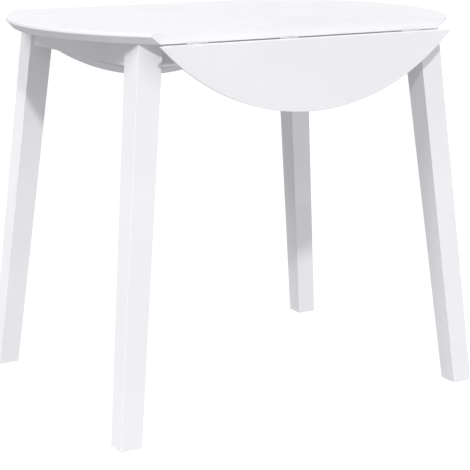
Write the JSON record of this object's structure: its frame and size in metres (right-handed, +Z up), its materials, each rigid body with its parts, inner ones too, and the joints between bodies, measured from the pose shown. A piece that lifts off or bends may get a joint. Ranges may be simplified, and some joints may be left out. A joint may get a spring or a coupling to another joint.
{
  "type": "drop-leaf dining table",
  "caption": "Round drop-leaf dining table in white satin lacquer: a fixed centre board, hinged leaves on folding stays, splayed tapered legs.",
  "frame": {"origin": "on the floor, under the middle of the table", "axes": "+X along the hinge lines, +Y across them towards the back leaf, +Z up; both leaves hanging"},
  "size_m": [0.8742, 0.6406, 0.75],
  "materials": {
    "painted_top": "white satin lacquer on board",
    "painted_frame": "white satin lacquer on solid wood",
    "bare_wood": "bare sanded hardwood",
    "hinge_steel": "bright zinc plate, satin",
    "screw_steel": "zinc plated",
    "glide_plastic": "matt moulded nylon"
  },
  "bodies": {
    "frame": {"back_apron": "painted_frame", "back_hinge_1_board_plate": "hinge_steel", "back_hinge_2_board_plate": "hinge_steel", "back_hinge_3_board_plate": "hinge_steel", "back_hinge_pins": "hinge_steel", "back_left_block": "bare_wood", "back_left_leg": "painted_frame", "back_right_block": "bare_wood", "back_right_leg": "painted_frame", "back_stay_frame_bracket": "hinge_steel", "back_stay_frame_rivet": "hinge_steel", "board_hinge_screws": "screw_steel", "centre_board": "painted_top", "centre_rail": "painted_frame", "corner_block_screws": "screw_steel", "dowels": "bare_wood", "foot_glides": "glide_plastic", "front_apron": "painted_frame", "front_hinge_1_board_plate": "hinge_steel", "front_hinge_2_board_plate": "hinge_steel", "front_hinge_3_board_plate": "hinge_steel", "front_hinge_pins": "hinge_steel", "front_left_block": "bare_wood", "front_left_leg": "painted_frame", "front_right_block": "bare_wood", "front_right_leg": "painted_frame", "front_stay_frame_bracket": "hinge_steel", "front_stay_frame_rivet": "hinge_steel", "hanger_bolt_nuts": "screw_steel", "hanger_bolt_washers": "screw_steel", "hanger_bolts": "screw_steel", "left_apron": "painted_frame", "right_apron": "painted_frame", "stay_frame_screws": "screw_steel", "top_screws": "screw_steel"},
    "front_leaf": {"front_leaf": "painted_top", "front_leaf_screws": "screw_steel", "front_stay_leaf_bracket": "hinge_steel", "front_stay_leaf_rivet": "hinge_steel", "front_hinge_1_leaf_plate": "hinge_steel", "front_hinge_2_leaf_plate": "hinge_steel", "front_hinge_3_leaf_plate": "hinge_steel"},
    "back_leaf": {"back_leaf": "painted_top", "back_leaf_screws": "screw_steel", "back_stay_leaf_bracket": "hinge_steel", "back_stay_leaf_rivet": "hinge_steel", "back_hinge_1_leaf_plate": "hinge_steel", "back_hinge_2_leaf_plate": "hinge_steel", "back_hinge_3_leaf_plate": "hinge_steel"},
    "front_lower_arm": {"front_stay_lower_arm": "hinge_steel", "front_stay_lower_elbow_rivet": "hinge_steel"},
    "front_upper_arm": {"front_stay_upper_arm": "hinge_steel", "front_stay_upper_elbow_rivet": "hinge_steel"},
    "back_lower_arm": {"back_stay_lower_arm": "hinge_steel", "back_stay_lower_elbow_rivet": "hinge_steel"},
    "back_upper_arm": {"back_stay_upper_arm": "hinge_steel", "back_stay_upper_elbow_rivet": "hinge_steel"}
  },
  "joints": [
    {"name": "front_leaf_hinge", "type": "hinge", "parent": "frame", "child": "front_leaf", "pos_m": [0, -0.301, 0.7307], "axis": [-1, 0, 0], "range_deg": [0, 90]},
    {"name": "front_stay_lower_pivot", "type": "hinge", "parent": "frame", "child": "front_lower_arm", "pos_m": [0, -0.253, 0.7107], "axis": [-1, 0, 0], "range_deg": [0, 94.08]},
    {"name": "front_stay_upper_pivot", "type": "hinge", "parent": "front_leaf", "child": "front_upper_arm", "pos_m": [0, -0.289, 0.6507], "axis": [-1, 0, 0], "range_deg": [-121.3, 0]},
    {"name": "back_leaf_hinge", "type": "hinge", "parent": "frame", "child": "back_leaf", "pos_m": [0, 0.301, 0.7307], "axis": [1, 0, 0], "range_deg": [0, 90]},
    {"name": "back_stay_lower_pivot", "type": "hinge", "parent": "frame", "child": "back_lower_arm", "pos_m": [0, 0.253, 0.7107], "axis": [1, 0, 0], "range_deg": [0, 94.08]},
    {"name": "back_stay_upper_pivot", "type": "hinge", "parent": "back_leaf", "child": "back_upper_arm", "pos_m": [0, 0.289, 0.6507], "axis": [1, 0, 0], "range_deg": [-121.3, 0]}
  ],
  "couplings": [
    {"joint": "front_stay_lower_pivot", "follows": "front_leaf_hinge", "ratio": 1.0397},
    {"joint": "front_stay_upper_pivot", "follows": "front_leaf_hinge", "ratio": -1.3423},
    {"joint": "back_stay_lower_pivot", "follows": "back_leaf_hinge", "ratio": 1.0397},
    {"joint": "back_stay_upper_pivot", "follows": "back_leaf_hinge", "ratio": -1.3423}
  ]
}
